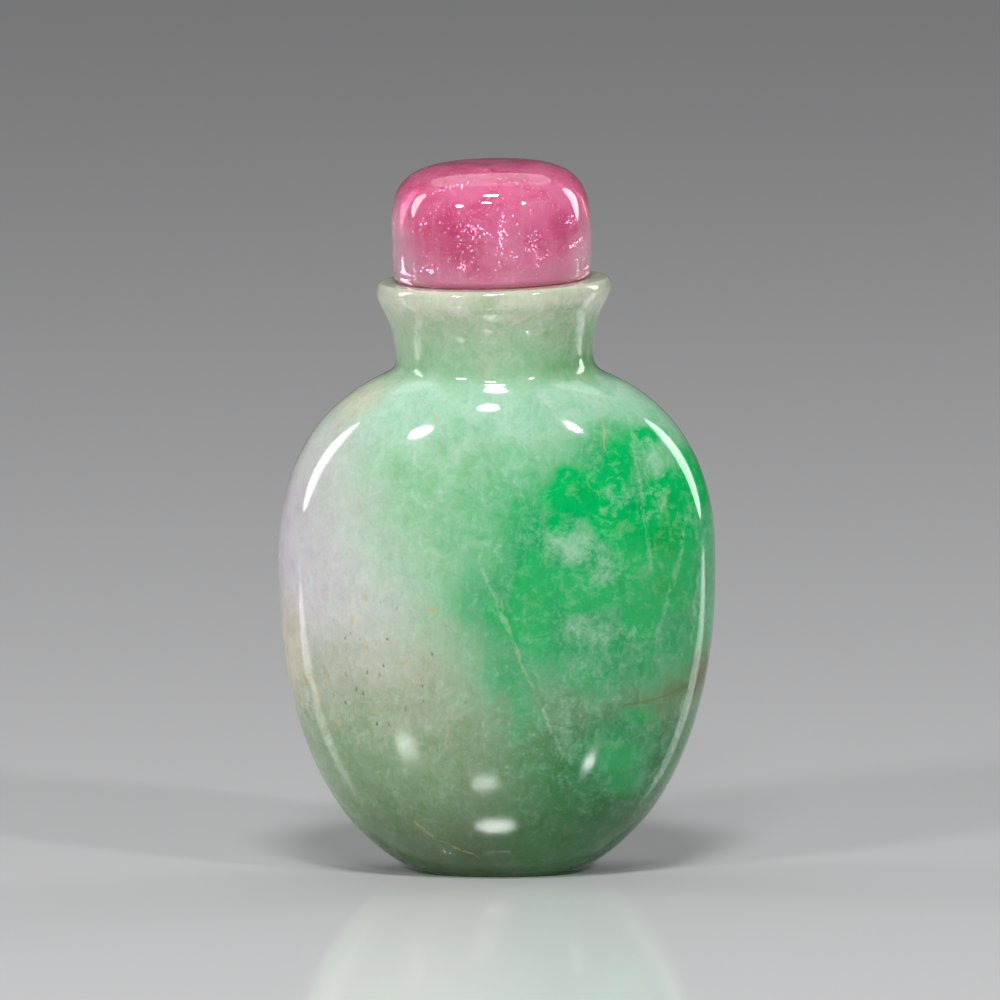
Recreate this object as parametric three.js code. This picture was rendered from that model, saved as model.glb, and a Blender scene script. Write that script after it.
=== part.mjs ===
// A flattened ovoid snuff bottle carved from one piece of jadeite, with a waisted neck,
// an everted lip and an oval foot ground hollow, closed by a round cabochon stopper cut
// from pink tourmaline. Millimetres, +Z up, +X to the right of the broad front face,
// -Y towards the viewer, origin on the ground under the middle of the foot.
import * as THREE from "three";

// Body: an oval in plan at every height, so each height has a half width and a half depth.
const BODY_HALF_WIDTH = 22.1;
const BODY_HALF_DEPTH = 13.7;
const BELLY_Z = 31.4; // height of the widest section
const SHOULDER_RISE = 21.1; // how far above the belly the shoulder curve would close
const SHOULDER_POWER = 2.38; // roundness of that curve: 2 is an ellipse, more is fuller
const FLANK_DROP = 32.9; // how far below the belly the flank curve would close
const FLANK_POWER = 2.27;

// Foot: a flat oval ring round a shallow hollow, at z = 0.
const FOOT_EDGE = 0.35; // height and width of the eased edge outside the ring
const FOOT_RING_WIDTH = 1.3;
const FOOT_HOLLOW = 0.5;
const FOOT_HOLLOW_SLOPE = 0.4;

// Neck and lip, round in plan.
const SHOULDER_TOP_Z = 50.5; // where the body stops and the fillet under the neck starts
const FILLET_TOP_Z = 52.1;
const WAIST_RADIUS = 9.97;
const WAIST_Z = 52.8;
const FLARE_TOP_Z = 57.4;
const FLARE_TOP_RADIUS = 10.87;
const LIP_RADIUS = 11.85;
const LIP_EDGE_Z = 59.3; // height of the lip's widest line
const LIP_TOP_Z = 60.2;
const LIP_TOP_RADIUS = 11.25; // the flat of the lip ends here and rolls over

// Cut by eye: the neck stands a little to one side, and the lip is ground out of level.
const NECK_OFFSET = -0.35;
const LIP_TILT = THREE.MathUtils.degToRad(1.5);

// Hollow: a straight bore through the neck into an oval chamber.
const MOUTH_RADIUS = 4.2;
const MOUTH_CHAMFER = 0.3;
const CHAMBER_HALF_WIDTH = 18.5;
const CHAMBER_HALF_DEPTH = 10.6;
const CHAMBER_Z = 30.5;
const CHAMBER_RISE = 18.9;
const CHAMBER_DROP = 26.0;
const CHAMBER_POWER = 2.3;

// Stopper: a straight-sided cabochon with a low crown, which stands square on the lip.
const STOPPER_RADIUS = 10.08;
const STOPPER_GIRTH_Z = 3.9; // its widest line, above its own base
const STOPPER_CROWN = 8.0; // rise of the crown above the widest line
const STOPPER_CROWN_POWER = 3.55;
const STOPPER_BASE_ROUND = 0.8; // radius of the rounding under its side
const STOPPER_BASE_INSET = 0.12; // how much narrower its side is just above that rounding
const STOPPER_OFFSET = -0.12; // from the middle of the neck
const SEAT_GAP = 0.04; // clearance between the lip and the stopper's base

const BOTTLE_SIDES = 56;
const STOPPER_SIDES = 48;
const FLANK_STEPS = 16;
const SHOULDER_STEPS = 12;
const CHAMBER_STEPS = 8;
const EDGE_STEPS = 3;
const NECK_STEPS = 5;
const CROWN_STEPS = 11;

const JADE = new THREE.MeshStandardMaterial({ color: 0x8fc79c, roughness: 0.12, metalness: 0 });
const TOURMALINE = new THREE.MeshStandardMaterial({ color: 0xd95f92, roughness: 0.06, metalness: 0 });

const { lerp, smoothstep } = THREE.MathUtils;

// Half width at a height h above or below the middle of a curve |x/w|^p + |h/reach|^p = 1.
function superellipse(halfWidth, reach, power, h) {
  return halfWidth * Math.pow(Math.max(0, 1 - Math.pow(h / reach, power)), 1 / power);
}

// Heights from 0 to reach along that curve, close together where it turns over.
function heightsAlong(reach, power, steps) {
  const heights = [];
  for (let i = 0; i <= steps; i++) {
    heights.push(reach * Math.pow(Math.sin((i / steps) * (Math.PI / 2)), 2 / power));
  }
  return heights;
}

// A ring of a turned piece: half width x and half depth y at the height z.
function ring(x, y, z) {
  return { x, y, z };
}

function roundRing(radius, z) {
  return ring(radius, radius, z);
}

// Above the belly the depth runs from the full half depth to the round neck's, so that
// shoulder and neck meet at one level all round.
function shoulderDepth(x) {
  const share = (x - WAIST_RADIUS) / (BODY_HALF_WIDTH - WAIST_RADIUS);
  return lerp(WAIST_RADIUS, BODY_HALF_DEPTH, share);
}

function bodyRing(z) {
  if (z > BELLY_Z) {
    const x = superellipse(BODY_HALF_WIDTH, SHOULDER_RISE, SHOULDER_POWER, z - BELLY_Z);
    return ring(x, shoulderDepth(x), z);
  }
  const x = superellipse(BODY_HALF_WIDTH, FLANK_DROP, FLANK_POWER, BELLY_Z - z);
  return ring(x, (x * BODY_HALF_DEPTH) / BODY_HALF_WIDTH, z);
}

function insetRing(base, inset, z) {
  return ring(base.x - inset, base.y - inset, z);
}

function footRings() {
  const side = bodyRing(FOOT_EDGE);
  const eased = insetRing(side, FOOT_EDGE * 0.45, FOOT_EDGE * 0.3);
  const ringOuter = insetRing(side, FOOT_EDGE * 1.4, 0);
  const ringInner = insetRing(ringOuter, FOOT_RING_WIDTH, 0);
  const hollow = insetRing(ringInner, FOOT_HOLLOW_SLOPE, FOOT_HOLLOW);
  return [ring(0, 0, FOOT_HOLLOW), hollow, ringInner, ringOuter, eased];
}

function bodyRings() {
  const flank = heightsAlong(FLANK_DROP, FLANK_POWER, FLANK_STEPS)
    .map((h) => BELLY_Z - h)
    .filter((z) => z > FOOT_EDGE * 2)
    .reverse();
  const shoulder = heightsAlong(SHOULDER_RISE, SHOULDER_POWER, SHOULDER_STEPS)
    .map((h) => BELLY_Z + h)
    .filter((z) => z > BELLY_Z && z < SHOULDER_TOP_Z - FOOT_EDGE);
  return [FOOT_EDGE, ...flank, ...shoulder, SHOULDER_TOP_Z].map(bodyRing);
}

function neckRadius(z) {
  const t = (z - WAIST_Z) / (FLARE_TOP_Z - WAIST_Z);
  return WAIST_RADIUS + (FLARE_TOP_RADIUS - WAIST_RADIUS) * Math.pow(Math.abs(t), 1.5);
}

// The points of a profile that bends from start towards corner and on to end, start left out.
function bend(start, corner, end, steps) {
  const points = [start, corner, end].map(([x, z]) => new THREE.Vector2(x, z));
  return new THREE.QuadraticBezierCurve(...points).getPoints(steps).slice(1);
}

// The fillet between shoulder and neck, the waisted neck and the everted lip.
function neckRings() {
  const shoulderEnd = [bodyRing(SHOULDER_TOP_Z).x, SHOULDER_TOP_Z];
  const neckStart = [neckRadius(FILLET_TOP_Z), FILLET_TOP_Z];
  const fillet = bend(shoulderEnd, [neckStart[0], SHOULDER_TOP_Z + 0.6], neckStart, EDGE_STEPS + 1);
  const rings = fillet.map((p) => ring(p.x, shoulderDepth(p.x), p.y));
  for (let i = 1; i <= NECK_STEPS; i++) {
    const z = lerp(FILLET_TOP_Z, FLARE_TOP_Z, i / NECK_STEPS);
    rings.push(roundRing(neckRadius(z), z));
  }
  const flareEnd = [FLARE_TOP_RADIUS, FLARE_TOP_Z];
  const lipEdge = [LIP_RADIUS, LIP_EDGE_Z];
  for (const p of bend(flareEnd, [LIP_RADIUS, LIP_EDGE_Z - 0.8], lipEdge, EDGE_STEPS + 1)) {
    rings.push(roundRing(p.x, p.y));
  }
  for (let i = 1; i <= EDGE_STEPS; i++) {
    const turn = (i / EDGE_STEPS) * (Math.PI / 2);
    const x = lerp(LIP_TOP_RADIUS, LIP_RADIUS, Math.cos(turn));
    rings.push(roundRing(x, lerp(LIP_EDGE_Z, LIP_TOP_Z, Math.sin(turn))));
  }
  return rings;
}

// The chamber is round where it meets the bore and oval at its middle and below.
function chamberRing(x, z) {
  const share = (x - MOUTH_RADIUS) / (CHAMBER_HALF_WIDTH - MOUTH_RADIUS);
  if (z > CHAMBER_Z) return ring(x, lerp(MOUTH_RADIUS, CHAMBER_HALF_DEPTH, share), z);
  return ring(x, (x * CHAMBER_HALF_DEPTH) / CHAMBER_HALF_WIDTH, z);
}

function hollowRings() {
  const rings = [
    roundRing(MOUTH_RADIUS + MOUTH_CHAMFER, LIP_TOP_Z),
    roundRing(MOUTH_RADIUS, LIP_TOP_Z - MOUTH_CHAMFER),
  ];
  for (const h of heightsAlong(CHAMBER_RISE, CHAMBER_POWER, CHAMBER_STEPS).reverse()) {
    const x = superellipse(CHAMBER_HALF_WIDTH, CHAMBER_RISE, CHAMBER_POWER, h);
    rings.push(chamberRing(Math.max(x, MOUTH_RADIUS), CHAMBER_Z + h));
  }
  for (const h of heightsAlong(CHAMBER_DROP, CHAMBER_POWER, CHAMBER_STEPS).slice(1)) {
    const x = superellipse(CHAMBER_HALF_WIDTH, CHAMBER_DROP, CHAMBER_POWER, h);
    rings.push(chamberRing(x, CHAMBER_Z - h));
  }
  return rings;
}

// A closed solid turned from rings whose first and last lie on the axis, each ring then
// pressed to its own half depth.
function turned(rings, sides) {
  const profile = rings.map((r) => new THREE.Vector2(r.x, r.z));
  const geometry = new THREE.LatheGeometry(profile, sides).rotateX(Math.PI / 2);
  const position = geometry.getAttribute("position");
  for (let i = 0; i < position.count; i++) {
    const r = rings[i % rings.length];
    if (r.x > 0) position.setY(i, (position.getY(i) * r.y) / r.x);
  }
  return geometry;
}

// Leans the neck to one side above the shoulder, and lifts one side of the lip.
function cutByEye(geometry) {
  const position = geometry.getAttribute("position");
  for (let i = 0; i < position.count; i++) {
    const [x, z] = [position.getX(i), position.getZ(i)];
    const lift = x * Math.tan(LIP_TILT) * smoothstep(z, WAIST_Z, FLARE_TOP_Z);
    position.setX(i, x + NECK_OFFSET * smoothstep(z, SHOULDER_TOP_Z - 1, FILLET_TOP_Z + 2));
    position.setZ(i, z + lift);
  }
  return geometry;
}

function bottle() {
  const rings = [...footRings(), ...bodyRings(), ...neckRings(), ...hollowRings()];
  const mesh = new THREE.Mesh(cutByEye(turned(rings, BOTTLE_SIDES)), JADE);
  mesh.name = "bottle";
  return mesh;
}

function stopper() {
  const rings = [roundRing(0, 0)];
  const sideRadius = STOPPER_RADIUS - STOPPER_BASE_INSET;
  for (let i = 0; i <= EDGE_STEPS + 1; i++) {
    const turn = (i / (EDGE_STEPS + 1)) * (Math.PI / 2);
    const x = sideRadius - STOPPER_BASE_ROUND * (1 - Math.sin(turn));
    rings.push(roundRing(x, STOPPER_BASE_ROUND * (1 - Math.cos(turn))));
  }
  for (const h of heightsAlong(STOPPER_CROWN, STOPPER_CROWN_POWER, CROWN_STEPS)) {
    const x = superellipse(STOPPER_RADIUS, STOPPER_CROWN, STOPPER_CROWN_POWER, h);
    rings.push(roundRing(x, STOPPER_GIRTH_Z + h));
  }
  const mesh = new THREE.Mesh(turned(rings, STOPPER_SIDES), TOURMALINE);
  mesh.name = "stopper";
  mesh.rotation.y = -LIP_TILT;
  mesh.position.set(NECK_OFFSET + STOPPER_OFFSET, 0, LIP_TOP_Z + SEAT_GAP);
  mesh.position.z += STOPPER_OFFSET * Math.tan(LIP_TILT);
  return mesh;
}

const snuffBottle = new THREE.Group();
snuffBottle.add(bottle(), stopper());

export default snuffBottle;
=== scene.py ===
import math
import random
from types import SimpleNamespace

import bpy
from mathutils import Euler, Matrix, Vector, noise


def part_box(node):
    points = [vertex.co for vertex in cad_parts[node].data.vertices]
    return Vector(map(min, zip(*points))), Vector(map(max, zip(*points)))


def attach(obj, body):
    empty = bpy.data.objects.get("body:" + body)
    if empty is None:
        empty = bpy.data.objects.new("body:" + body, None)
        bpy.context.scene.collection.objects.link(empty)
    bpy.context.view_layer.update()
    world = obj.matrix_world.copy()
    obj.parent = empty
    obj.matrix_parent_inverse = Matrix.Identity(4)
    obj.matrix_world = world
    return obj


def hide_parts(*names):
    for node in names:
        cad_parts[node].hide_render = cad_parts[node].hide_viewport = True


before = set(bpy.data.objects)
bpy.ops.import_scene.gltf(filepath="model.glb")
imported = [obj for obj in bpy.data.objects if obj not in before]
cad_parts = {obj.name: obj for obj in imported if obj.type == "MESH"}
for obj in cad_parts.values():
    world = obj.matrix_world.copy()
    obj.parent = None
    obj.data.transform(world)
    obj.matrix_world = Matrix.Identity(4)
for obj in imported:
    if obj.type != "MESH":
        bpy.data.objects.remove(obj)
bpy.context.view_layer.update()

# --- Bottle ---------------------------------------------------------------------------
# One piece of jadeite, sawn and ground to a flattened ovoid with a waisted neck and an
# everted lip, drilled and hollowed through the mouth, and polished all over. The outlines
# below are in millimetres, and the piece is raised ring by ring from its foot.
MM = 0.001
bottle_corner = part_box("bottle")[1]
HALF_WIDTH, HALF_DEPTH = bottle_corner.x / MM, bottle_corner.y / MM
BELLY, SHOULDER_RISE, SHOULDER_POWER = 31.4, 21.1, 2.38
FLANK_DROP, FLANK_POWER = 32.9, 2.27
FOOT_EDGE, FOOT_RING, FOOT_HOLLOW, FOOT_SLOPE = 0.35, 1.3, 0.5, 0.4
FOOT_RING_EASE, FOOT_RING_EASE_RISE = 0.1, 0.12  # the ring's inner edge, softened
FOOT_INSET, FOOT_CORNER = 1.4 * FOOT_EDGE, (0.12, 0.02)  # of the ring, and of its outer edge
SHOULDER_TOP, FILLET_TOP, WAIST, FLARE_TOP = 50.5, 52.1, 52.8, 57.4
FILLET_CORNER_RISE = 0.6  # of the fillet's corner over the shoulder's top
WAIST_RADIUS, FLARE_RADIUS, FLARE_POWER = 9.97, 10.87, 1.5
FLARE_START, FLARE_BEND, FLARE_END = 53.6, (10.35, 56.0), (11.3, 57.7)
LIP_UNDERCUT = (11.78, 58.55)  # where the hollow under the lip turns outward
LIP_EDGE, LIP_TOP, LIP_RADIUS, LIP_FLAT = 59.3, 60.2, 11.85, 11.25
LIP_FACE = (9.5, 7.5, 5.5)  # rings across the lip's flat top, in towards the mouth
MOUTH, MOUTH_CHAMFER = 4.2, 0.3
CHAMBER_WIDTH, CHAMBER_DEPTH, CHAMBER_POWER = 18.5, 10.6, 2.3
CHAMBER_MIDDLE, CHAMBER_RISE, CHAMBER_DROP = 30.5, 18.9, 26.0
NECK_ASIDE = -0.35
LIP_TILT = math.radians(1.5)
HAND_WAVE, HAND_WAVES_PER_MM = 0.045, 0.11  # how the polished faces wander from the true curve
WAVES_START, NECK_SHIFT_STARTS = (1, 6), (SHOULDER_TOP - 1, FILLET_TOP + 2)  # heights
WORN_FLAT, WORN_FLAT_REACH, WORN_FLAT_DEPTH, WORN_FLAT_CORE = (-20.3, 18.6), 2.0, 0.13, 0.3
BOTTLE_SIDES, FLANK_STEPS, SHOULDER_STEPS, WAIST_STEPS, CHAMBER_STEPS = 160, 64, 44, 5, 16


def mix(a, b, share):
    return a + (b - a) * share


def smooth(value, low, high):
    t = min(max((value - low) / (high - low), 0), 1)
    return t * t * (3 - 2 * t)


def superellipse(half_width, reach, power, height):
    """Half width at a height over the middle of a curve that closes at its reach."""
    return half_width * max(0, 1 - (height / reach) ** power) ** (1 / power)


def heights_along(reach, power, steps):
    """Heights from 0 to the reach of such a curve, close together where it turns over."""
    turns = (i / steps * math.pi / 2 for i in range(steps + 1))
    return [reach * math.sin(turn) ** (2 / power) for turn in turns]


def bend(start, corner, end, steps):
    """Points on the curve that leaves start towards the corner and comes into end from it."""
    points = []
    for i in range(1, steps + 1):
        t = i / steps
        ways = zip(start, corner, end)
        points.append([(1 - t) ** 2 * a + 2 * t * (1 - t) * b + t * t * c for a, b, c in ways])
    return points


def shoulder_depth(x):
    return mix(WAIST_RADIUS, HALF_DEPTH, (x - WAIST_RADIUS) / (HALF_WIDTH - WAIST_RADIUS))


def body_ring(z):
    if z > BELLY:
        x = superellipse(HALF_WIDTH, SHOULDER_RISE, SHOULDER_POWER, z - BELLY)
        return x, shoulder_depth(x), z
    x = superellipse(HALF_WIDTH, FLANK_DROP, FLANK_POWER, BELLY - z)
    return x, x * HALF_DEPTH / HALF_WIDTH, z


def foot_rings():
    wide, deep, _ = body_ring(FOOT_EDGE)
    inner = FOOT_INSET + FOOT_RING
    steps = [(inner + FOOT_SLOPE, FOOT_HOLLOW), (inner + FOOT_RING_EASE, FOOT_RING_EASE_RISE)]
    steps += [(inner, 0), (FOOT_INSET, 0)]
    steps += bend((FOOT_INSET, 0), FOOT_CORNER, (0, FOOT_EDGE), 5)
    return [(0, 0, FOOT_HOLLOW)] + [(wide - inset, deep - inset, z) for inset, z in steps]


def body_rings():
    flank = [BELLY - h for h in heights_along(FLANK_DROP, FLANK_POWER, FLANK_STEPS)][::-1]
    shoulder = [BELLY + h for h in heights_along(SHOULDER_RISE, SHOULDER_POWER, SHOULDER_STEPS)]
    apart = 0.1  # the least distance from the levels that the foot and the neck start at
    levels = [z for z in flank + shoulder[1:] if FOOT_EDGE + apart < z < SHOULDER_TOP - apart]
    return [body_ring(z) for z in levels + [SHOULDER_TOP]]


def neck_radius(z):
    share = abs(z - WAIST) / (FLARE_TOP - WAIST)
    return mix(WAIST_RADIUS, FLARE_RADIUS, share**FLARE_POWER)


def neck_rings():
    start = body_ring(SHOULDER_TOP)[0], SHOULDER_TOP
    end = neck_radius(FILLET_TOP), FILLET_TOP
    fillet = bend(start, (end[0], SHOULDER_TOP + FILLET_CORNER_RISE), end, 9)
    rings = [(x, shoulder_depth(x), z) for x, z in fillet]
    for i in range(1, WAIST_STEPS + 1):
        z = mix(FILLET_TOP, FLARE_START, i / WAIST_STEPS)
        rings.append((neck_radius(z), neck_radius(z), z))
    flare = bend((neck_radius(FLARE_START), FLARE_START), FLARE_BEND, FLARE_END, 14)
    under = bend(FLARE_END, LIP_UNDERCUT, (LIP_RADIUS, LIP_EDGE), 10)
    over = bend((LIP_RADIUS, LIP_EDGE), (LIP_RADIUS, LIP_TOP), (LIP_FLAT, LIP_TOP), 8)
    return rings + [(x, x, z) for x, z in flare + under + over]


def chamber_ring(x, z):
    if z <= CHAMBER_MIDDLE:
        return x, x * CHAMBER_DEPTH / CHAMBER_WIDTH, z
    x = max(x, MOUTH)
    return x, mix(MOUTH, CHAMBER_DEPTH, (x - MOUTH) / (CHAMBER_WIDTH - MOUTH)), z


def hollow_rings():
    rings = [(x, x, LIP_TOP) for x in (*LIP_FACE, MOUTH + MOUTH_CHAMFER)]
    rings.append((MOUTH, MOUTH, LIP_TOP - MOUTH_CHAMFER))
    for h in heights_along(CHAMBER_RISE, CHAMBER_POWER, CHAMBER_STEPS)[::-1]:
        x = superellipse(CHAMBER_WIDTH, CHAMBER_RISE, CHAMBER_POWER, h)
        rings.append(chamber_ring(x, CHAMBER_MIDDLE + h))
    for h in heights_along(CHAMBER_DROP, CHAMBER_POWER, CHAMBER_STEPS)[1:-1]:
        x = superellipse(CHAMBER_WIDTH, CHAMBER_DROP, CHAMBER_POWER, h)
        rings.append(chamber_ring(x, CHAMBER_MIDDLE - h))
    return rings + [(0, 0, CHAMBER_MIDDLE - CHAMBER_DROP)]


SAME_PLACE = 0.0001  # points nearer than this are one


def turned(name, rings, sides):
    """A closed piece: its outline is drawn as a chain of points, spun about the axis and
    pressed to the oval that each ring of it has."""
    bpy.ops.object.select_all(action="DESELECT")
    wide, _, level = rings[0]
    bpy.ops.mesh.primitive_plane_add(size=MM, location=(wide * MM, 0, level * MM))
    piece = bpy.context.object
    piece.name = piece.data.name = name
    bpy.ops.object.transform_apply()
    bpy.ops.object.mode_set(mode="EDIT")
    bpy.ops.mesh.select_mode(type="VERT")
    bpy.ops.mesh.merge(type="CENTER")
    for new_wide, _, new_level in rings[1:]:
        step = ((new_wide - wide) * MM, 0, (new_level - level) * MM)
        bpy.ops.mesh.extrude_region_move(TRANSFORM_OT_translate={"value": step})
        wide, level = new_wide, new_level
    bpy.ops.object.mode_set(mode="OBJECT")
    oval = piece.data.attributes.new("oval", "FLOAT", "POINT")
    oval.data.foreach_set("value", [deep / wide if wide else 1 for wide, deep, _ in rings])
    bpy.ops.object.mode_set(mode="EDIT")
    bpy.ops.mesh.select_all(action="SELECT")
    bpy.ops.mesh.spin(steps=sides, angle=math.tau, center=(0, 0, 0), axis=(0, 0, 1))
    bpy.ops.mesh.select_all(action="SELECT")
    bpy.ops.mesh.remove_doubles(threshold=SAME_PLACE * MM)
    bpy.ops.mesh.normals_make_consistent(inside=False)
    bpy.ops.object.mode_set(mode="OBJECT")
    presses = [value.value for value in piece.data.attributes["oval"].data]
    for point, press in zip(piece.data.vertices, presses):
        point.co.y *= press
    piece.data.attributes.remove(piece.data.attributes["oval"])
    bpy.ops.object.shade_smooth()
    return piece


outline = foot_rings() + body_rings() + neck_rings() + hollow_rings()
bottle = turned("bottle_stone", outline, BOTTLE_SIDES)
outward = [point.normal.copy() for point in bottle.data.vertices]
for point, way in zip(bottle.data.vertices, outward):
    x, y, z = point.co / MM
    wave = noise.noise(Vector((x, y, z)) * HAND_WAVES_PER_MM) * HAND_WAVE * smooth(z, *WAVES_START)
    point.co += way * wave * MM * (1 - smooth(z, FLARE_TOP, LIP_EDGE))
    flat = math.dist((x, z), WORN_FLAT) / WORN_FLAT_REACH
    point.co -= way * WORN_FLAT_DEPTH * MM * (1 - smooth(flat, WORN_FLAT_CORE, 1))
    point.co.x += NECK_ASIDE * MM * smooth(z, *NECK_SHIFT_STARTS)
    point.co.z += x * MM * math.tan(LIP_TILT) * smooth(z, WAIST, FLARE_TOP)
bottle.data.update()
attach(bottle, "root")
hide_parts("bottle")

# The colours lie in the stone as leaning ovals that run in from a broad face: a middle
# across and up, two radii and a lean to the right.
FRONT = {
    "emerald": (
        ((8.8, 40.0), (4.0, 2.0), -4), ((7.0, 41.6), (1.5, 1.1), 0), ((12.1, 42.6), (1.4, 2.2), 0),
        ((14.8, 45.0), (1.7, 1.0), 0), ((12.6, 36.6), (3.0, 2.0), 20), ((17.4, 38.6), (2.6, 3.2), 0),
        ((17.0, 34.6), (3.2, 3.6), 0), ((16.8, 30.2), (3.4, 2.6), 0), ((14.4, 27.0), (1.7, 2.0), -10),
        ((14.0, 32.0), (2.4, 1.9), 0), ((19.6, 40.5), (1.2, 3.0), -20), ((3.9, 32.4), (1.2, 1.9), 0),
        ((3.4, 29.2), (1.9, 3.2), 0), ((2.6, 26.6), (1.8, 1.8), 0), ((4.2, 25.2), (1.2, 1.2), 0),
        ((-0.2, 28.2), (1.0, 1.0), 0), ((9.6, 29.4), (3.6, 1.1), -8), ((7.0, 30.8), (2.8, 1.6), 0),
        ((6.0, 36.8), (0.7, 0.9), 0), ((12.4, 12.6), (1.9, 1.4), 0), ((13.0, 9.8), (1.4, 1.3), 0),
        ((14.3, 17.0), (1.0, 0.6), 0),
    ),
    "green": (
        ((11.5, 31.0), (10.0, 11.5), 0), ((2.2, 28.6), (5.6, 4.6), 0), ((1.4, 22.0), (1.8, 5.4), -14),
        ((12.4, 13.0), (3.8, 5.2), 20), ((4.8, 35.0), (4.0, 5.0), 20), ((12.0, 43.5), (5.0, 3.6), 0),
        ((18.6, 26.0), (2.4, 5.0), 0),
    ),
    "milk": (
        ((7.4, 34.8), (2.2, 1.7), 20), ((15.9, 42.9), (1.8, 1.4), 20), ((12.3, 39.3), (1.3, 0.8), 0),
        ((10.4, 32.2), (1.8, 1.1), 0), ((16.4, 39.0), (0.9, 0.9), 0), ((-0.8, 34.2), (0.9, 1.0), 30),
        ((6.9, 16.2), (0.8, 2.6), 0), ((10.0, 26.0), (2.0, 0.7), 10), ((-3.0, 46.8), (4.0, 1.4), 10),
    ),
    "russet": (((20.8, 20.4), (1.4, 2.0), 0), ((19.2, 19.7), (1.8, 0.6), -24)),
    "tea": (((-13.4, 48.9), (3.6, 1.3), -38), ((-21.0, 23.0), (1.8, 6.0), -6)),
}
BACK = {
    "emerald": (
        ((10.5, 36.0), (4.6, 2.6), 30), ((16.5, 31.0), (3.2, 5.4), 0), ((6.0, 29.0), (2.4, 3.8), -20),
        ((12.5, 22.0), (3.6, 1.8), -40), ((17.5, 40.0), (2.0, 3.2), 0), ((3.0, 42.0), (2.0, 1.2), 0),
    ),
    "green": (((11.0, 30.0), (10.0, 13.5), 0), ((4.0, 24.0), (5.0, 6.0), 20)),
    "milk": (
        ((10.0, 27.0), (3.6, 1.6), -30), ((15.0, 36.5), (1.6, 2.6), 10), ((4.5, 34.5), (2.6, 1.2), 40),
    ),
    "russet": (((20.4, 19.6), (1.6, 2.6), 0),),
    "tea": (((-14.0, 48.4), (3.0, 1.2), -38), ((-6.0, 10.0), (3.2, 1.6), 20)),
}


FAR_OUTSIDE = -9
FACES_MEET = -2, 2  # the front's colours give way to the back's between these depths


def inside(ovals, x, z):
    """How far inside the nearest oval a place is, in millimetres."""
    depths = [FAR_OUTSIDE]
    for middle, radii, lean in ovals:
        right, rise = x - middle[0], z - middle[1]
        cos, sin = math.cos(math.radians(lean)), math.sin(math.radians(lean))
        across, up = right * cos - rise * sin, right * sin + rise * cos
        depths.append((1 - math.hypot(across / radii[0], up / radii[1])) * min(radii))
    return max(depths)


for mark in FRONT:
    depths = []
    for point in bottle.data.vertices:
        x, y, z = point.co / MM
        ahead = 1 - smooth(y, *FACES_MEET)
        depths.append(mix(inside(BACK[mark], x, z), inside(FRONT[mark], x, z), ahead))
    bottle.data.attributes.new(mark, "FLOAT", "POINT").data.foreach_set("value", depths)


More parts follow.
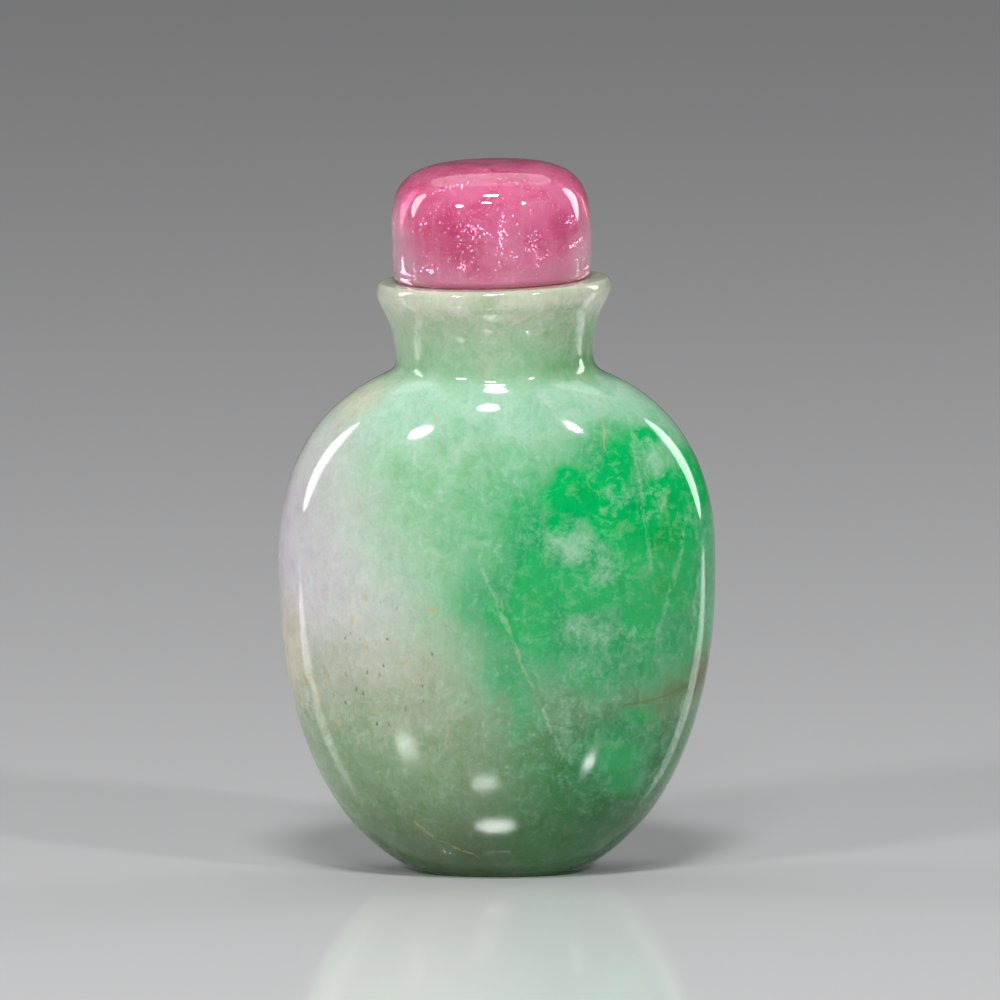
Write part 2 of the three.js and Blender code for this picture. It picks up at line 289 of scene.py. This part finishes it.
class Wire:
    """A socket in a material. Arithmetic on wires adds the Math nodes that do it."""

    def __init__(self, tree, socket=None):
        self.tree = tree
        self.socket = socket

    def node(self, kind, sockets, out=0, **settings):
        """What a new node gives, with these values or wires in its sockets."""
        made = self.tree.nodes.new("ShaderNode" + kind)
        for name, value in settings.items():
            setattr(made, name, value)
        for key, value in sockets.items():
            if isinstance(value, Wire):
                self.tree.links.new(value.socket, made.inputs[key])
            else:
                made.inputs[key].default_value = value
        return Wire(self.tree, made.outputs[out])

    def maths(self, operation, *values):
        return self.node("Math", dict(enumerate(values)), operation=operation)

    def __add__(self, other):
        return self.maths("ADD", self, other)

    def __sub__(self, other):
        return self.maths("SUBTRACT", self, other)

    def __rsub__(self, other):
        return self.maths("SUBTRACT", other, self)

    def __mul__(self, other):
        return self.maths("MULTIPLY", self, other)

    def __abs__(self):
        return self.maths("ABSOLUTE", self)

    def __or__(self, other):
        return self.maths("MAXIMUM", self, other)

    __radd__, __rmul__ = __add__, __mul__

    def between(self, low, high):
        """0 at low and 1 at high, with a soft start and end."""
        ends = {"Value": self, "From Min": low, "From Max": high}
        return self.node("MapRange", ends, interpolation_type="SMOOTHSTEP")

    def into(self, socket):
        self.tree.links.new(self.socket, socket)

    def here(self):
        """The place in the piece, in millimetres."""
        return self.node("TexCoord", {}, out="Object").scaled(1 / MM, 1 / MM, 1 / MM)

    def split(self):
        ends = self.node("SeparateXYZ", {0: self}).socket.node.outputs
        return [Wire(self.tree, end) for end in ends]

    def scaled(self, *amounts):
        return self.node("VectorMath", {0: self, 1: amounts}, operation="MULTIPLY")

    def noise(self, scale, detail=4, roughness=0.55, out="Fac"):
        sockets = {"Vector": self, "Scale": scale, "Detail": detail, "Roughness": roughness}
        return self.node("TexNoise", sockets, out=out)

    def swing(self, scale, detail, roughness):
        """Noise about zero, as far below it as above."""
        return self.noise(scale, detail, roughness) - 0.5

    def specks(self, scale, core, rim):
        """1 in the core of each of the specks strewn through the stone, and 0 past their rims."""
        cells = {"Vector": self, "Scale": scale, "Randomness": 1}
        return 1 - self.node("TexVoronoi", cells).between(core, rim)

    def moved(self, scale, detail, amount):
        """This place, pushed about by noise."""
        by = self.noise(scale, detail, out="Color")
        push = self.node("VectorMath", {0: by, 1: (0.5, 0.5, 0.5)}, operation="SUBTRACT")
        ends = {0: push, 1: (amount, amount, amount), 2: self}
        return self.node("VectorMath", ends, operation="MULTIPLY_ADD")

    def spot(self, middle, radii):
        """1 at the middle of an upright oval on the broad face, down to 0 at its rim."""
        ends = {0: self, 1: (1 / radii[0], 0, 1 / radii[1])}
        ends[2] = (-middle[0] / radii[0], 0, -middle[1] / radii[1])
        local = self.node("VectorMath", ends, operation="MULTIPLY_ADD")
        return 1 - self.node("VectorMath", {0: local}, out=1, operation="LENGTH")

    def paint(self, tone):
        """One plain colour, to be tinted."""
        plain = self.node("RGB", {})
        plain.socket.default_value = tone
        return plain

    def tint(self, tone, mask, strength=1):
        """This colour, turned to another where the mask says, and no further than the strength."""
        if strength != 1:
            mask = mask * strength
        return self.node("Mix", {0: mask, 6: self, 7: tone}, out=2, data_type="RGBA")


def colour(red, green, blue):
    """A colour as a paint chart gives it, made linear."""
    steps = (v / 255 for v in (red, green, blue))
    return (*((v / 12.92 if v < 0.04045 else ((v + 0.055) / 1.055) ** 2.4) for v in steps), 1)


def any_of(masks):
    """The strongest of the masks at each place."""
    whole, *others = masks
    for mask in others:
        whole = whole | mask
    return whole


VEIN_CORE, VEIN_FADE = 0.2, 0.6  # the share of its width that is solid, and how softly it ends


def vein(across, along, places, width):
    """1 along a thin sheet that meets the broad face in a curve through three places, and 0
    beside it. Each place is how far across it is and how far along."""
    (start, low), (middle, waist), (end, high) = places
    slope = (middle - start) / (waist - low)
    turn = ((end - middle) / (high - waist) - slope) / (high - low)
    curve = (along - low) * (along * turn + (slope - turn * waist)) + start
    line = 1 - abs(across - curve).between(width * VEIN_CORE, width)
    begun, ended = (along.between(level - VEIN_FADE, level + VEIN_FADE) for level in (low, high))
    return line * begun * (1 - ended)


# Each upright vein is three places across and up, lowest first, and a width.
PALE_VEINS = (
    (((15.6, 31.6), (14.6, 39.5), (13.0, 48.2)), 0.40),
    (((15.7, 24.2), (17.6, 30.0), (19.4, 38.0)), 0.42),
    (((19.5, 24.0), (20.0, 28.0), (20.6, 31.5)), 0.50),
    (((17.7, 12.8), (18.3, 15.8), (18.6, 18.6)), 0.30),
    (((6.8, 13.0), (2.6, 22.6), (-1.8, 33.6)), 0.34),
)
OCHRE_VEINS = (
    (((-5.8, 44.2), (-6.1, 46.8), (-8.2, 49.9)), 0.16),
    (((10.6, 43.6), (10.7, 46.5), (10.4, 49.4)), 0.16),
    (((5.1, 17.3), (2.6, 22.6), (0.2, 30.0)), 0.15),
    (((-1.8, 2.4), (-6.2, 4.4), (-8.8, 7.6)), 0.34),
    (((-5.0, 14.4), (-5.05, 16.0), (-5.0, 17.6)), 0.18),
)
OCHRE_SPOTS = (
    ((-13.3, 29.2), (0.4, 0.5)), ((-19.1, 20.4), (0.45, 0.7)), ((-18.1, 18.5), (0.45, 1.2)),
    ((-15.9, 16.1), (0.4, 0.6)), ((-12.6, 18.0), (0.3, 0.3)), ((-7.9, 21.4), (0.25, 0.4)),
    ((-6.2, 47.3), (0.3, 0.3)), ((-6.5, 33.6), (0.25, 0.3)), ((-14.6, 26.8), (0.3, 0.7)),
    ((-6.4, 28.2), (0.8, 0.3)), ((-9.0, 22.8), (0.7, 0.25)), ((-10.7, 25.0), (0.3, 0.4)),
)

# The iron-stained seam lies level, so its places are up and then across.
RUSSET_SEAM = ((18.3, 12.5), (18.6, 16.0), (20.4, 20.6)), 0.2
PITTED = (-10.5, 20.5), (10, 10)  # where the small pits and specks lie

LILAC, PEARL, ASH = colour(196, 187, 196), colour(188, 191, 186), colour(166, 172, 150)
# The first colour on the next line is mint with painted light from above.
PAINTED_LIGHT_MINT, MINT, SPRING = colour(166, 201, 178), colour(142, 189, 150), colour(82, 173, 116)
GREEN, EMERALD, VIVID = colour(52, 164, 100), colour(0, 174, 90), colour(0, 160, 56)
MILK, SAGE, FERN = colour(146, 196, 162), colour(128, 154, 118), colour(34, 128, 64)
# The first colour on the next line is painted shade at the foot.
PAINTED_SHADE_MOSS, RUSSET, UMBER = colour(48, 80, 32), colour(78, 86, 0), colour(104, 122, 44)
OCHRE, TEA, PIT = colour(184, 166, 116), colour(200, 192, 168), colour(92, 84, 66)
LIP, NECK = colour(190, 194, 174), colour(136, 176, 136)
NECK_GREEN, NECK_PALE = colour(96, 154, 96), colour(158, 178, 148)

# Where each colour comes in or goes out, in millimetres across the broad face,
PEARL_STARTS, MINT_STARTS, SPRING_STARTS = (-22, -15), (-16, -6), (-9, 4)
FERN_STARTS, FOOT_FERN_STARTS, NECK_GREEN_STARTS = (-5, 9), (-2, 6), (1, 9)
# The first two starts on the next line bound painted shade, not a colour in the stone.
PAINTED_SHADE_RIGHT_STARTS, PAINTED_SHADE_MIDDLE_STARTS, NECK_BAND = (2, 13), (-14, 5), -1.3
# up it,
# The first start on the next line is where the mint's painted light near the top begins.
PAINTED_LIGHT_MINT_STARTS, ASH_ENDS, SAGE_ENDS = (41, 48), (20, 32), (12, 23)
SPRING_RISES, SPRING_FADES = (12, 24), (38, 46)
PAINTED_SHADE_MOSS_ENDS, FOOT_FERN_ENDS, CURLS_START = (0, 13), (4, 10), (8, 14)
NECK_STARTS, NECK_STREAKS_START = (49.6, 52.4), (50, 52)
NECK_PALE_STARTS, LIP_STARTS = (52.6, 57.4), (55.8, 58.8)
# Both ends on the next line bound painted shade.
PAINTED_SHADE_FOOT_ENDS, PAINTED_SHADE_WAIST_ENDS = (4, 30), (28, 39)
# and inward through the rim of its ovals.
GREEN_EDGE, EMERALD_EDGE, VIVID_CORE = (-1.8, 1.6), (-0.7, 0.3), (0.8, 2.4)
MILK_EDGE, UMBER_EDGE, RUSSET_EDGE, TEA_EDGE = (-1.0, 1.6), (-2.0, 1.2), (-0.6, 1.2), (-0.8, 1.2)
SLANT, SLANT_MIDDLE = 0.32, 34  # the lilac, pearl and mint meet along leaning lines


def new_material(name):
    """A material, its shader and a wire to start from."""
    material = bpy.data.materials.new(name)
    material.use_nodes = True
    return material, material.node_tree.nodes["Principled BSDF"], Wire(material.node_tree)


def grown_stone(stone):
    """The places in the stone, its zones and its growth from coarse to fine."""
    jade = SimpleNamespace(here=stone.here())
    jade.place = jade.here.moved(0.45, 4, amount=2.2)
    jade.x, y, jade.z = jade.place.split()
    jade.front = 1 - y.between(*FACES_MEET)
    jade.zone = {}
    for mark in FRONT:
        jade.zone[mark] = stone.node("Attribute", {}, out="Fac", attribute_name=mark)
    jade.cloud = jade.place.swing(0.22, 3, 0.6)
    jade.patch = jade.place.swing(0.45, 4, 0.6)
    jade.feather = jade.place.swing(1.3, 5, 0.7)
    jade.fibre = jade.place.scaled(1, 1, 0.2).swing(2.0, 4, 0.65)
    jade.grain = jade.here.swing(3.2, 3, 0.75)
    jade.bent = jade.here.moved(0.7, 3, amount=0.9)
    jade.bent_x, _, jade.bent_z = jade.bent.split()
    return jade


def wavy(value, jade, **reaches):
    """This value, carried up and down by each of these sizes of growth, as far as its reach."""
    for size, reach in reaches.items():
        value = value + getattr(jade, size) * reach
    return value


def broad_colours(jade):
    """Lilac, pearl and mint from left to right, the mint paler near the top as painted light, and ash,
    sage and fern low down.
    """
    across = wavy(jade.x + (jade.z - SLANT_MIDDLE) * SLANT, jade, cloud=7, feather=2.5)
    # Painted light: the mint turns paler towards the top, as if lit from above.
    mint = jade.x.paint(MINT).tint(PAINTED_LIGHT_MINT, wavy(jade.z, jade, cloud=6).between(*PAINTED_LIGHT_MINT_STARTS))
    base = jade.x.paint(LILAC).tint(PEARL, across.between(*PEARL_STARTS))
    base = base.tint(mint, across.between(*MINT_STARTS))
    ash = 1 - wavy(jade.z, jade, cloud=6, feather=3).between(*ASH_ENDS)
    base = base.tint(ASH, ash, strength=0.9)
    spring = wavy(jade.x, jade, cloud=8, feather=4).between(*SPRING_STARTS)
    spring = spring * (1 - jade.z.between(*SPRING_FADES) * 0.8)
    base = base.tint(SPRING, spring * jade.z.between(*SPRING_RISES))
    low = 1 - wavy(jade.z, jade, cloud=4, feather=3).between(*SAGE_ENDS)
    base = base.tint(SAGE, low)
    return base.tint(FERN, low * wavy(jade.x, jade, cloud=6, feather=3).between(*FERN_STARTS))


def greens(jade, base):
    """The green fields, the emerald patches in them and the milky clouds over both. The mask
    of the emerald is given back too."""
    field = wavy(jade.zone["green"], jade, feather=4, patch=7, cloud=3)
    base = base.tint(GREEN, field.between(*GREEN_EDGE), strength=0.85)
    field = wavy(jade.zone["emerald"], jade, patch=2.4, feather=2.2)
    emerald = field.between(*EMERALD_EDGE)
    base = base.tint(EMERALD, emerald, strength=0.96)
    base = base.tint(VIVID, field.between(*VIVID_CORE), strength=0.6)
    milk = wavy(jade.zone["milk"], jade, feather=2.5, patch=3).between(*MILK_EDGE)
    return base.tint(MILK, milk, strength=0.65), emerald


def veins_and_wisps(jade, base, emerald):
    """Healed cracks, fibres and curls, all paler than the stone but for the emerald."""
    veins = any_of(vein(jade.bent_x, jade.bent_z, *shape) for shape in PALE_VEINS) * jade.front
    base = base.tint(MILK, veins * jade.fibre.between(-0.2, 0.2), strength=0.55)
    wisps = (jade.fibre + jade.feather).between(0, 0.32) * (1 - emerald)
    curls = 1 - abs(jade.place.swing(0.55, 3, 0.6)).between(0, 0.03)
    curls = curls * (1 - emerald) * jade.z.between(*CURLS_START)
    return base.tint(MILK, (wisps * 0.3) | (curls * 0.1))


def foot_colours_and_painted_shade(jade, base):
    """Painted shade in moss green towards the foot, with some brighter fern at right."""
    # Painted shade: moss green darkens the stone towards the foot.
    base = base.tint(PAINTED_SHADE_MOSS, 1 - wavy(jade.z, jade, cloud=3).between(*PAINTED_SHADE_MOSS_ENDS), strength=0.9)
    fern = (1 - jade.z.between(*FOOT_FERN_ENDS)) * jade.x.between(*FOOT_FERN_STARTS)
    return base.tint(FERN, fern, strength=0.4)


def neck_colours(jade, base):
    """Green at the waist and more so at right, paler above, and a creamy lip. Pale streaks
    and one upright band run through all of these."""
    waist = wavy(jade.z, jade, feather=3).between(*NECK_STARTS)
    base = base.tint(NECK, waist, strength=0.9)
    right = wavy(jade.x, jade, feather=4).between(*NECK_GREEN_STARTS)
    base = base.tint(NECK_GREEN, waist * right, strength=0.8)
    pale = (wavy(jade.z, jade, cloud=9, feather=4) - jade.x * 0.08).between(*NECK_PALE_STARTS)
    base = base.tint(NECK_PALE, pale, strength=0.85)
    lip = wavy(jade.z, jade, cloud=5, feather=4).between(*LIP_STARTS)
    base = base.tint(LIP, lip, strength=0.85)
    streaks = jade.place.scaled(1, 1, 0.35).swing(0.8, 5, 0.65).between(-0.02, 0.2)
    band = 1 - abs(wavy(jade.x - NECK_BAND, jade, feather=2)).between(0.3, 1.8)
    return base.tint(NECK_PALE, jade.z.between(*NECK_STREAKS_START) * (streaks * 0.45 | band * 0.5))


def iron_stains(jade, base):
    """Russet at the right edge, with the seam it came in by, and tea-coloured skin at left."""
    umber = wavy(jade.zone["russet"], jade, feather=3, patch=6).between(*UMBER_EDGE)
    base = base.tint(UMBER, umber, strength=0.6)
    russet = wavy(jade.zone["russet"], jade, feather=2, patch=5).between(*RUSSET_EDGE)
    base = base.tint(RUSSET, russet, strength=0.85)
    base = base.tint(TEA, wavy(jade.zone["tea"], jade, feather=2).between(*TEA_EDGE), strength=0.6)
    across, _, up = jade.here.split()
    return base.tint(UMBER, vein(up, across, *RUSSET_SEAM) * jade.front, strength=0.6)


def cracks_and_pits(jade, base):
    """Ochre in the fine cracks, spots and specks, and dark pits. The mask of the pits is given
    back too."""
    cracks = any_of(vein(jade.bent_x, jade.bent_z, *shape) for shape in OCHRE_VEINS) * jade.front
    spots = any_of(jade.here.spot(*spot) for spot in OCHRE_SPOTS)
    spots = (spots + jade.feather).between(-0.1, 0.5) * jade.front
    broken = jade.here.noise(0.9, 2).between(0.38, 0.52)
    pitted = jade.here.spot(*PITTED).between(-0.1, 0.6)
    pits = jade.bent.scaled(1, 1, 0.45).specks(1.15, 0.07, 0.2) * pitted
    specks = jade.bent.scaled(1, 1, 0.6).specks(0.75, 0.08, 0.2) * pitted
    base = base.tint(OCHRE, (cracks * broken * 0.42) | (spots * 0.5) | (specks * 0.6))
    return base.tint(PIT, pits * broken, strength=0.75), pits


def tone_and_painted_shade(jade, base):
    """Painted shade, darker low at right and below its middle; and the stone's tone and strength
    of colour vary with the growth."""
    # Painted shade: darker towards the foot at right and below the middle, where less light reaches.
    dark = (1 - jade.z.between(*PAINTED_SHADE_FOOT_ENDS)) * jade.x.between(*PAINTED_SHADE_RIGHT_STARTS)
    dark = dark + (1 - jade.z.between(*PAINTED_SHADE_WAIST_ENDS)) * jade.x.between(*PAINTED_SHADE_MIDDLE_STARTS)
    tone = wavy(1, jade, cloud=0.16, patch=0.35, feather=0.3, fibre=0.25, grain=0.25) - dark * 0.18
    strength = 1 - (jade.patch + jade.feather) * 0.9
    return base.node("HueSaturation", {"Saturation": strength, "Value": tone, "Color": base})


def jadeite():
    material, shader, stone = new_material("polished jadeite")
    jade = grown_stone(stone)
    base, emerald = greens(jade, broad_colours(jade))
    base = foot_colours_and_painted_shade(jade, veins_and_wisps(jade, base, emerald))
    base = iron_stains(jade, neck_colours(jade, base))
    base, pits = cracks_and_pits(jade, base)
    tone_and_painted_shade(jade, base).into(shader.inputs["Base Color"])
    relief = jade.here.noise(5.5, 1) * 0.3 - pits * 2
    bump = stone.node("Bump", {"Strength": 0.12, "Distance": 0.06 * MM, "Height": relief})
    bump.into(shader.inputs["Normal"])
    (0.07 + jade.grain * 0.06).into(shader.inputs["Roughness"])
    shader.inputs["IOR"].default_value = 1.6
    shader.inputs["Subsurface Weight"].default_value = 0.3
    shader.inputs["Subsurface Radius"].default_value = (0.5, 1.0, 0.7)
    shader.inputs["Subsurface Scale"].default_value = 1.2 * MM
    return material


bottle.data.materials.append(jadeite())

# --- Stopper --------------------------------------------------------------------------
# A round cabochon of pink tourmaline with straight sides and a low crown, full of veils,
# growth tubes and flecks. It stands on the lip.
STOPPER_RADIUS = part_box("stopper")[1].y / MM
GIRTH, CROWN, CROWN_POWER = 3.9, 8.0, 3.55
BASE_ROUND, BASE_INSET = 0.8, 0.12
STOPPER_ASIDE, SEAT_GAP = -0.12, 0.04
STOPPER_SIDES, CROWN_STEPS = 128, 60


def stopper_rings():
    side = STOPPER_RADIUS - BASE_INSET
    rings = [(0, 0, 0), (side - BASE_ROUND, side - BASE_ROUND, 0)]
    for x, z in bend((side - BASE_ROUND, 0), (side, 0), (side, BASE_ROUND), 8):
        rings.append((x, x, z))
    for h in heights_along(CROWN, CROWN_POWER, CROWN_STEPS)[1:-1]:
        x = superellipse(STOPPER_RADIUS, CROWN, CROWN_POWER, h)
        rings.append((x, x, GIRTH + h))
    return rings + [(0, 0, GIRTH + CROWN)]


SEAT = Vector((NECK_ASIDE + STOPPER_ASIDE, 0, LIP_TOP + SEAT_GAP)) * MM
LEAN = Euler((0, -LIP_TILT, 0)).to_matrix()
stopper = turned("stopper_stone", stopper_rings(), STOPPER_SIDES)
for point in stopper.data.vertices:
    point.co = LEAN @ point.co + SEAT
stopper.data.update()
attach(stopper, "root")
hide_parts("stopper")

# The first colour is the white of the flecks and dust specks, and also serves as painted glow.
WHITE_FLECK_AND_GLOW, SHELL = colour(255, 226, 236), colour(255, 172, 204)
ROSE, DEEP_ROSE = colour(252, 134, 180), colour(214, 60, 124)
DEEP_SPOTS = ((-4.0, 64.8), (3.4, 2.8)), ((6.6, 66.4), (2.2, 2.6))
GEM_MIDDLE, PALE_BAND = -0.4, 0.9  # across
# The pale end at the base on the next line is painted light shining up through the crystal.
BAND_ENDS, PAINTED_GLOW_BASE_ENDS = (65, 69), (59.5, 62.5)  # up
# The lower corners are whitened as painted light.
PAINTED_GLOW_CORNERS_START = (-9.0, -5.4)  # along a line that slants out and down


def tourmaline():
    material, shader, gem = new_material("polished tourmaline")
    here = gem.here()
    place = here.moved(0.3, 4, amount=4)
    x, _, z = here.split()
    aside = abs(x - GEM_MIDDLE)
    cloud = place.noise(0.28, 4, 0.6)
    feather = place.swing(0.9, 6, 0.7)
    base = gem.paint(ROSE)
    base = base.tint(DEEP_ROSE, (cloud + feather * 0.2).between(0.40, 0.66), strength=0.6)
    deep = any_of(here.spot(*spot) for spot in DEEP_SPOTS)
    base = base.tint(DEEP_ROSE, (deep + feather * 1.2).between(0, 0.8), strength=0.6)
    band = 1 - abs(x - PALE_BAND + feather * 3).between(0.2, 2.4)
    base = base.tint(SHELL, band * (1 - z.between(*BAND_ENDS)), strength=0.45)
    # Painted light: paler towards the base and whiter at its lower corners, where light shines through
    # the crystal.
    low = 1 - (z - aside * 0.35 + feather * 4).between(*PAINTED_GLOW_BASE_ENDS)
    base = base.tint(SHELL, low, strength=0.7)
    painted_glow_corners = (aside - z * 0.25 + feather * 4).between(*PAINTED_GLOW_CORNERS_START)
    base = base.tint(WHITE_FLECK_AND_GLOW, painted_glow_corners, strength=0.75)
    dust = place.scaled(1, 1, 0.8).specks(2.0, 0.1, 0.28) * cloud.between(0.35, 0.6)
    base = base.tint(WHITE_FLECK_AND_GLOW, dust, strength=0.8)
    tubes = here.moved(0.4, 2, amount=1).scaled(1, 1, 0.1).noise(1.4, 5, 0.7)
    base = base.tint(SHELL, tubes.between(0.5, 0.7), strength=0.4)
    lines = here.scaled(0.05, 0.05, 1).noise(4.5, 2, 0.7)
    base = base.tint(SHELL, lines.between(0.5, 0.75), strength=0.25)
    veil = (place.noise(0.7, 6, 0.72) + feather * 0.2).between(0.54, 0.7)
    base.tint(SHELL, veil, strength=0.6).into(shader.inputs["Base Color"])
    relief = gem.node("Bump", {"Strength": 0.1, "Distance": 0.05 * MM, "Height": here.noise(1.2, 2)})
    relief.into(shader.inputs["Normal"])
    shader.inputs["Roughness"].default_value = 0.04
    shader.inputs["IOR"].default_value = 1.63
    shader.inputs["Transmission Weight"].default_value = 0.6
    shader.inputs["Subsurface Weight"].default_value = 0.6
    shader.inputs["Subsurface Radius"].default_value = (1.0, 0.5, 0.7)
    shader.inputs["Subsurface Scale"].default_value = 2 * MM
    return material


stopper.data.materials.append(tourmaline())

# --- Flecks in the stopper ------------------------------------------------------------
# Small bright and dark chips of gas, liquid and healed crack that grew in the crystal. They
# lie in clusters, one upright trail and a few slanting lines, all sealed well inside it.
# Each cluster is a middle, how far it spreads, how many chips and how large they are.
CLUSTERS = (
    ((-2.0, -6.5, 66.0), (0.9, 1.0, 0.7), 34, 0.10),
    ((0.3, -7.0, 65.6), (0.35, 0.8, 2.3), 80, 0.07),
    ((-5.9, -5.0, 61.9), (0.9, 1.2, 0.5), 30, 0.09),
    ((-3.0, -7.0, 62.3), (0.7, 1.0, 0.5), 24, 0.08),
    ((6.6, -4.2, 66.4), (0.5, 1.2, 0.7), 24, 0.10),
    ((-6.4, -4.2, 66.4), (0.5, 1.0, 0.4), 12, 0.09),
    ((-1.6, -4.0, 70.4), (1.5, 1.6, 0.35), 30, 0.08),
    ((3.2, -7.0, 64.0), (1.6, 1.4, 1.8), 50, 0.06),
    ((7.4, -3.0, 63.6), (0.7, 1.6, 1.6), 26, 0.07),
    ((-1.0, -3.0, 65.5), (5.0, 3.2, 3.2), 110, 0.07),
)
# Each line is its two ends, how many chips and how large they are.
LINES = (
    ((6.6, -5.2, 63.9), (8.2, -3.4, 64.8), 36, 0.09),
    ((3.7, -7.6, 65.2), (3.8, -7.6, 61.4), 24, 0.06),
    ((-6.0, -5.0, 68.8), (-3.6, -6.0, 69.8), 20, 0.07),
)
LINE_SCATTER = 0.08
CHIP_BREADTH, CHIP_THICKNESS = (0.4, 0.9), 0.3  # beside a length of 1
DARK_EVERY = 4  # one chip in so many is dark


def chips(name, places, seed):
    """Flat little chips in one piece, each a ball of few faces, pressed thin and turned."""
    dice = random.Random(seed)
    bpy.ops.object.select_all(action="DESELECT")
    (middle, size), *others = places
    bpy.ops.mesh.primitive_ico_sphere_add(subdivisions=1, radius=size * MM, location=(0, 0, 0))
    piece = bpy.context.object
    piece.name = piece.data.name = name
    bpy.ops.object.mode_set(mode="EDIT")
    bpy.ops.transform.translate(value=Vector(middle) * MM)
    for middle, size in others:
        turn = [dice.uniform(0, math.pi) for _ in range(3)]
        thin = (1, dice.uniform(*CHIP_BREADTH), CHIP_THICKNESS)
        where = Vector(middle) * MM
        bpy.ops.mesh.primitive_ico_sphere_add(
            subdivisions=1, radius=size * MM, location=where, rotation=turn, scale=thin)
    bpy.ops.object.mode_set(mode="OBJECT")
    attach(piece, "root")
    return piece


def chip_places(seed):
    dice = random.Random(seed)
    places = []
    for middle, spread, count, size in CLUSTERS:
        for _ in range(count):
            place = [m + dice.gauss(0, 0.5) * s for m, s in zip(middle, spread)]
            places.append((place, size * dice.uniform(0.5, 1.3)))
    for start, end, count, size in LINES:
        for _ in range(count):
            share = dice.random()
            place = [mix(a, b, share) + dice.gauss(0, LINE_SCATTER) for a, b in zip(start, end)]
            places.append((place, size * dice.uniform(0.6, 1.4)))
    return places


def fleck_material(name, tone, painted_glint, rough):
    material, shader, gem = new_material(name)
    mottle = gem.here().noise(2.0, 3).between(0.4, 0.7)
    gem.paint(tone).tint(SHELL, mottle, strength=0.5).into(shader.inputs["Base Color"])
    shader.inputs["Roughness"].default_value = rough
    # The emission is painted light: the chips glow like the glints they would catch.
    shader.inputs["Emission Color"].default_value = tone
    shader.inputs["Emission Strength"].default_value = painted_glint
    return material


# The bright chips glow with a painted glint; the dark ones do not glow.
flecks = chip_places(seed=7)
bright = [fleck for i, fleck in enumerate(flecks) if i % DARK_EVERY]
bright_chips = chips("stopper_flecks", bright, seed=11)
bright_chips.data.materials.append(fleck_material("pale flecks with painted glint", WHITE_FLECK_AND_GLOW, painted_glint=5.0, rough=0.2))
dark_chips = chips("stopper_dark_flecks", flecks[::DARK_EVERY], seed=12)
DARK_FLECK = colour(120, 40, 70)
dark_chips.data.materials.append(fleck_material("dark flecks", DARK_FLECK, painted_glint=0.0, rough=0.3))

# --- Table, light and camera ----------------------------------------------------------
# A pale polished table, which mirrors the lamps. One large soft lamp hangs behind and above,
# a tall strip stands at each side, and four small ones stand in front. All are in metres.
TABLE_SIZE, TABLE_BEHIND = 12, 3
bpy.ops.object.select_all(action="DESELECT")
bpy.ops.mesh.primitive_plane_add(size=TABLE_SIZE, location=(0, TABLE_BEHIND, 0))
table = bpy.context.object
table.name = "table"
bpy.ops.object.transform_apply()
pale, polish, _ = new_material("pale table")
polish.inputs["Base Color"].default_value = (0.74, 0.74, 0.75, 1)
polish.inputs["Roughness"].default_value = 0.1
polish.inputs["IOR"].default_value = 1.8
polish.inputs["Specular IOR Level"].default_value = 1.0
table.data.materials.append(pale)

BODY_MIDDLE = Vector((0, 0, 0.034))
# Each lamp is how far round it stands (0 is in front, and it grows to the right), how high in
# degrees, how far off, its width and height, and its power.
LAMPS = {
    "behind": (180, 66, 2.4, 3.2, 2.2, 21),
    "strip_left": (-103, 20, 0.8, 0.17, 0.48, 1.3),
    "strip_right": (120, 17, 0.8, 0.20, 0.48, 1.4),
    "front_top": (-1, 58, 0.8, 0.19, 0.09, 3.2),
    "front_middle": (-6, 39, 0.8, 0.15, 0.065, 1.1),
    "front_left": (-40, 29, 0.8, 0.13, 0.065, 2.0),
    "front_right": (43, 33, 0.8, 0.07, 0.06, 1.7),
}
for name, (azimuth, elevation, distance, width, height, power) in LAMPS.items():
    turn, rise = math.radians(azimuth), math.radians(elevation)
    way = Vector((math.sin(turn) * math.cos(rise), -math.cos(turn) * math.cos(rise), math.sin(rise)))
    lamp = bpy.data.lights.new(name, "AREA")
    lamp.shape, lamp.size, lamp.size_y, lamp.energy = "ELLIPSE", width, height, power
    softbox = bpy.data.objects.new(name, lamp)
    softbox.location = BODY_MIDDLE + way * distance
    softbox.rotation_euler = way.to_track_quat("Z", "Y").to_euler()
    bpy.context.scene.collection.objects.link(softbox)

world = bpy.data.worlds.new("room")
world.use_nodes = True
world.node_tree.nodes["Background"].inputs["Color"].default_value = (0.05, 0.05, 0.052, 1)
bpy.context.scene.world = world

VIEW_WIDTH, VIEW_DISTANCE, SENSOR = 0.101, 2.0, 36
VIEW_RISE = math.radians(7)
AIM = Vector((0.3, 0, 37.75)) * MM
eye = bpy.data.cameras.new("camera")
eye.sensor_width = SENSOR
eye.lens = SENSOR * VIEW_DISTANCE / VIEW_WIDTH
eye.clip_end = 50
camera = bpy.data.objects.new("camera", eye)
camera.location = AIM + Vector((0, -math.cos(VIEW_RISE), math.sin(VIEW_RISE))) * VIEW_DISTANCE
camera.rotation_euler = (math.pi / 2 - VIEW_RISE, 0, 0)
bpy.context.scene.collection.objects.link(camera)
bpy.context.scene.camera = camera
bpy.context.scene.view_settings.view_transform = "Standard"
